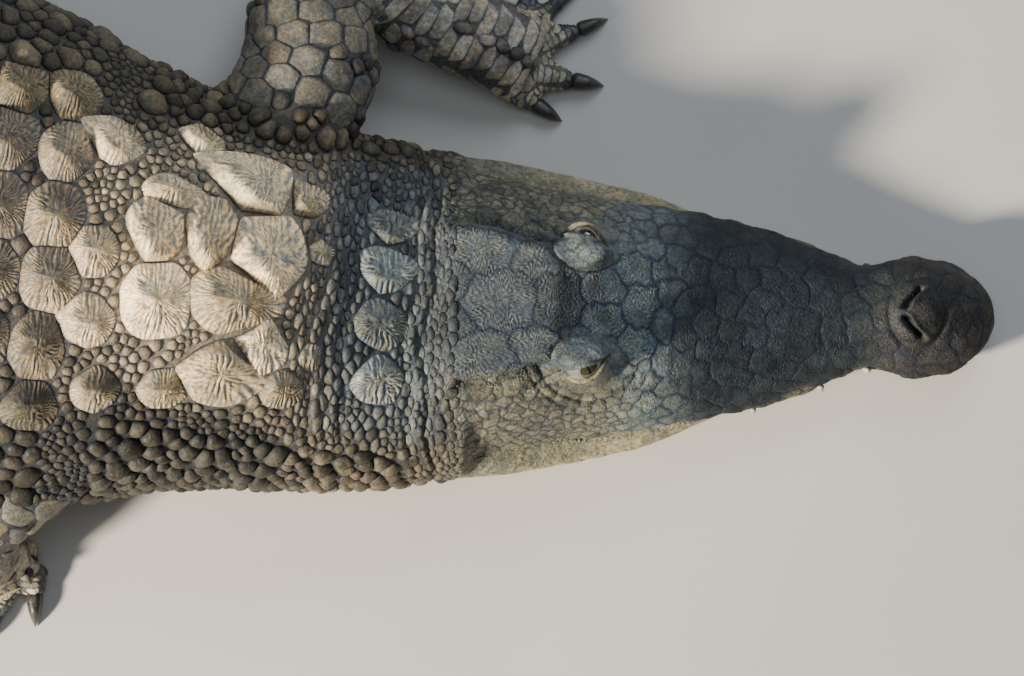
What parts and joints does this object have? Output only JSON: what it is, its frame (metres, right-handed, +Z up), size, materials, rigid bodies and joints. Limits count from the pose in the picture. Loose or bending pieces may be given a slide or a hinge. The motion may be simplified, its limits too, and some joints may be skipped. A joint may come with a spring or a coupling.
{
  "type": "mugger crocodile",
  "caption": "Life-size mugger (marsh crocodile) at rest on its belly, head level, one forefoot forward, keeled back and tail crest.",
  "frame": {"origin": "on the flat of the belly where the animal rests on the floor, under the middle of the trunk", "axes": "+X the way the head points, +Y the animal's left, +Z up"},
  "size_m": [3.4158, 1.2782, 0.2934],
  "materials": {
    "hide": "dry scaly hide, grey-brown above, paler on the flanks and belly",
    "head_hide": "dark slate skin tight on the skull, finely pitted, with blue-black creases",
    "eye": "glossy olive-brown eye with a dark upright slit",
    "claw_horn": "dark horn, slightly worn at the tips"
  },
  "bodies": {
    "root": {"eye_left": "eye", "eye_right": "eye", "head": "head_hide", "left_foot": "hide", "left_foot_claw_1": "claw_horn", "left_foot_claw_2": "claw_horn", "left_foot_claw_3": "claw_horn", "left_forearm": "hide", "left_hand": "hide", "left_hand_claw_1": "claw_horn", "left_hand_claw_2": "claw_horn", "left_hand_claw_3": "claw_horn", "left_shin": "hide", "left_thigh": "hide", "left_upper_arm": "hide", "lower_jaw": "hide", "neck": "hide", "right_foot": "hide", "right_foot_claw_1": "claw_horn", "right_foot_claw_2": "claw_horn", "right_foot_claw_3": "claw_horn", "right_forearm": "hide", "right_hand": "hide", "right_hand_claw_1": "claw_horn", "right_hand_claw_2": "claw_horn", "right_hand_claw_3": "claw_horn", "right_shin": "hide", "right_thigh": "hide", "right_upper_arm": "hide", "tail_base": "hide", "tail_middle": "hide", "tail_tip": "hide", "trunk_front": "hide", "trunk_rear": "hide"}
  },
  "joints": []
}
